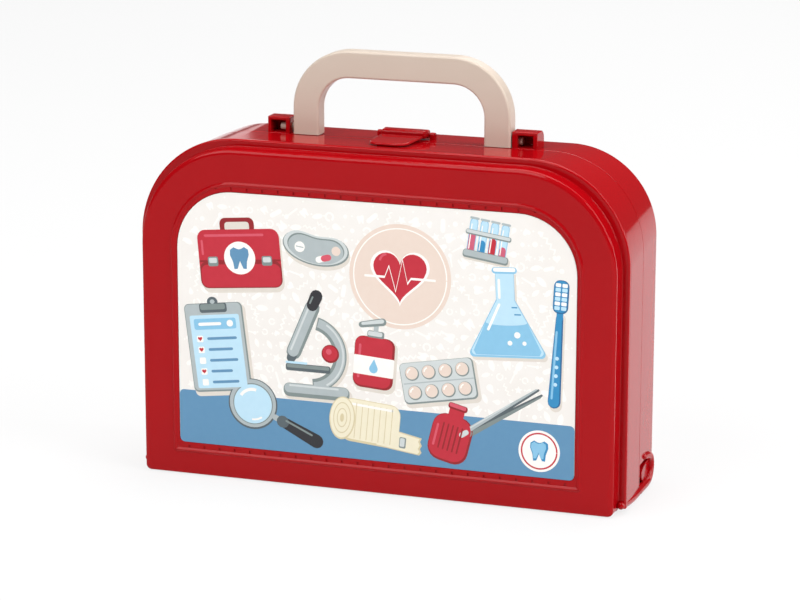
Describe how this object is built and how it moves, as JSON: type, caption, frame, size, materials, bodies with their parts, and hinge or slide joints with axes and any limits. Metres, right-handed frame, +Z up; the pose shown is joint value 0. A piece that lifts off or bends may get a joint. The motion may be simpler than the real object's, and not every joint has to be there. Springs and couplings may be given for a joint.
{
  "type": "toy doctor case",
  "caption": "Toy doctor's carry case: two glossy moulded half shells hinged along the floor, hasp latch, swing handle in lugs and a printed front label.",
  "frame": {"origin": "on the floor, under the middle of the case's width and depth", "axes": "+Z up, -Y towards the printed front face, +X to the right when one looks at that face"},
  "size_m": [0.2904, 0.083, 0.2456],
  "materials": {
    "red_gloss_plastic": "glossy moulded polypropylene",
    "beige_plastic": "satin moulded plastic",
    "printed_label": "satin printed film"
  },
  "bodies": {
    "back_case": {"back_shell": "red_gloss_plastic", "latch_pin": "red_gloss_plastic", "hinge_pin_left": "red_gloss_plastic", "hinge_pin_right": "red_gloss_plastic"},
    "lid": {"front_shell": "red_gloss_plastic", "front_label": "printed_label"},
    "carry_handle": {"handle": "beige_plastic"},
    "hasp": {"latch": "red_gloss_plastic"}
  },
  "joints": [
    {"name": "lid_hinge", "type": "hinge", "parent": "back_case", "child": "lid", "pos_m": [0, 0.0048, 0.0025], "axis": [1, 0, 0], "range_deg": [0, 110]},
    {"name": "handle_swing", "type": "hinge", "parent": "back_case", "child": "carry_handle", "pos_m": [0, 0.0112, 0.19902], "axis": [-1, 0, 0], "range_deg": [0, 90]},
    {"name": "latch_hinge", "type": "hinge", "parent": "back_case", "child": "hasp", "pos_m": [0, 0.0173, 0.19815], "axis": [-1, 0, 0], "range_deg": [0, 65]}
  ]
}
